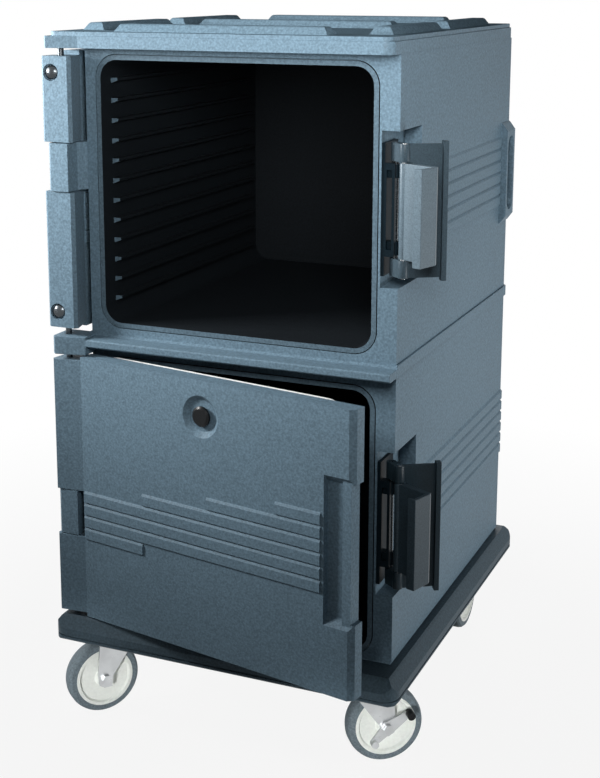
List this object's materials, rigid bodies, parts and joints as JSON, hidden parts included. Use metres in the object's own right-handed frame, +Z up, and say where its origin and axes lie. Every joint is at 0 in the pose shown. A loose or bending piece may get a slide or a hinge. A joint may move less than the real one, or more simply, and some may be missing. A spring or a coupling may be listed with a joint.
{
  "type": "insulated food carrier",
  "caption": "Upright insulated food pan cart with stacked compartments, side-hinged doors, draw latches, pan runners and swivel and rigid casters.",
  "frame": {"origin": "on the floor under the middle of the base deck", "axes": "+X to the latch side, +Y to the back, +Z up; the doors face -Y"},
  "size_m": [0.7789, 0.9311, 1.395],
  "materials": {
    "moulded": "rotationally moulded polyethylene with a fine pebble grain",
    "moulded_inner": "smooth moulded polyethylene",
    "insulation": "rigid foam, hidden inside the walls",
    "latch_nylon": "dark reinforced nylon, satin",
    "pin_chrome": "polished pin",
    "zinc_steel": "zinc plated steel",
    "brake_steel": "zinc plated steel with dark pads",
    "wheel_cream": "cream moulded core",
    "tyre_grey": "grey non-marking tread",
    "gasket": "white soft gasket",
    "vent_black": "black cap"
  },
  "bodies": {
    "cabinet": {"base_deck": "moulded", "lower_shell": "moulded", "upper_shell": "moulded", "mid_ledge": "moulded", "roof_cap": "moulded", "lower_liner": "moulded_inner", "upper_liner": "moulded_inner", "lower_runners": "moulded_inner", "upper_runners": "moulded_inner", "lower_foam": "insulation", "upper_foam": "insulation", "left_handle": "moulded", "right_handle": "moulded", "upper_latch_base": "latch_nylon", "lower_latch_base": "latch_nylon", "latch_screws": "zinc_steel", "lever_pins": "pin_chrome", "hinge_pins": "zinc_steel", "caster_bolts": "zinc_steel", "swivel_plates": "zinc_steel", "rear_forks": "zinc_steel", "rear_axles": "zinc_steel"},
    "upper_door": {"upper_door_shell": "moulded", "upper_door_panel": "moulded_inner", "upper_door_foam": "insulation", "upper_door_gasket": "gasket", "upper_vent_cap": "vent_black", "upper_hinge_bolts": "zinc_steel"},
    "lower_door": {"lower_door_shell": "moulded", "lower_door_panel": "moulded_inner", "lower_door_foam": "insulation", "lower_door_gasket": "gasket", "lower_vent_cap": "vent_black", "lower_hinge_bolts": "zinc_steel"},
    "upper_lever": {"upper_lever": "latch_nylon", "upper_hook_pin": "pin_chrome"},
    "upper_hook": {"upper_hook": "latch_nylon"},
    "lower_lever": {"lower_lever": "latch_nylon", "lower_hook_pin": "pin_chrome"},
    "lower_hook": {"lower_hook": "latch_nylon"},
    "left_swivel": {"left_fork": "zinc_steel", "left_axle": "zinc_steel"},
    "left_wheel": {"left_wheel": "wheel_cream", "left_tyre": "tyre_grey"},
    "right_swivel": {"right_fork": "zinc_steel", "right_axle": "zinc_steel"},
    "right_wheel": {"right_wheel": "wheel_cream", "right_tyre": "tyre_grey"},
    "right_brake": {"right_brake": "brake_steel"},
    "rear_left_wheel": {"rear_left_wheel": "wheel_cream", "rear_left_tyre": "tyre_grey"},
    "rear_right_wheel": {"rear_right_wheel": "wheel_cream", "rear_right_tyre": "tyre_grey"}
  },
  "joints": [
    {"name": "upper_door_swing", "type": "hinge", "parent": "cabinet", "child": "upper_door", "pos_m": [-0.325, -0.397, 1.079], "axis": [0, 0, 1], "range_deg": [0, 270]},
    {"name": "lower_door_swing", "type": "hinge", "parent": "cabinet", "child": "lower_door", "pos_m": [-0.325, -0.397, 0.503], "axis": [0, 0, 1], "range_deg": [-259.3, 10.7]},
    {"name": "upper_lever_turn", "type": "hinge", "parent": "cabinet", "child": "upper_lever", "pos_m": [0.318, -0.352, 1.0825], "axis": [0, 0, 1], "range_deg": [0, 58]},
    {"name": "upper_hook_turn", "type": "hinge", "parent": "upper_lever", "child": "upper_hook", "pos_m": [0.33849, -0.36801, 1.0825], "axis": [0, 0, 1], "range_deg": [-130.05, 0]},
    {"name": "lower_lever_turn", "type": "hinge", "parent": "cabinet", "child": "lower_lever", "pos_m": [0.318, -0.352, 0.5065], "axis": [0, 0, 1], "range_deg": [0, 58]},
    {"name": "lower_hook_turn", "type": "hinge", "parent": "lower_lever", "child": "lower_hook", "pos_m": [0.33849, -0.36801, 0.5065], "axis": [0, 0, 1], "range_deg": [-130.05, 0]},
    {"name": "left_caster_swivel", "type": "hinge", "parent": "cabinet", "child": "left_swivel", "pos_m": [-0.281, -0.313, 0.16], "axis": [0, 0, 1], "continuous": true},
    {"name": "left_wheel_spin", "type": "hinge", "parent": "left_swivel", "child": "left_wheel", "pos_m": [-0.30491, -0.34253, 0.075], "axis": [0.7771, -0.6293, 0], "continuous": true},
    {"name": "right_caster_swivel", "type": "hinge", "parent": "cabinet", "child": "right_swivel", "pos_m": [0.258, -0.313, 0.16], "axis": [0, 0, 1], "continuous": true},
    {"name": "right_wheel_spin", "type": "hinge", "parent": "right_swivel", "child": "right_wheel", "pos_m": [0.28835, -0.29013, 0.075], "axis": [-0.6018, 0.7986, 0], "continuous": true},
    {"name": "right_brake_rock", "type": "hinge", "parent": "right_swivel", "child": "right_brake", "pos_m": [0.28835, -0.29013, 0.075], "axis": [-0.6018, 0.7986, 0], "range_deg": [-12, 12]},
    {"name": "rear_left_wheel_spin", "type": "hinge", "parent": "cabinet", "child": "rear_left_wheel", "pos_m": [-0.281, 0.325, 0.075], "axis": [1, 0, 0], "continuous": true},
    {"name": "rear_right_wheel_spin", "type": "hinge", "parent": "cabinet", "child": "rear_right_wheel", "pos_m": [0.258, 0.325, 0.075], "axis": [1, 0, 0], "continuous": true}
  ],
  "couplings": [
    {"joint": "upper_hook_turn", "follows": "upper_lever_turn", "ratio": -2.2414},
    {"joint": "lower_hook_turn", "follows": "lower_lever_turn", "ratio": -2.2414}
  ]
}
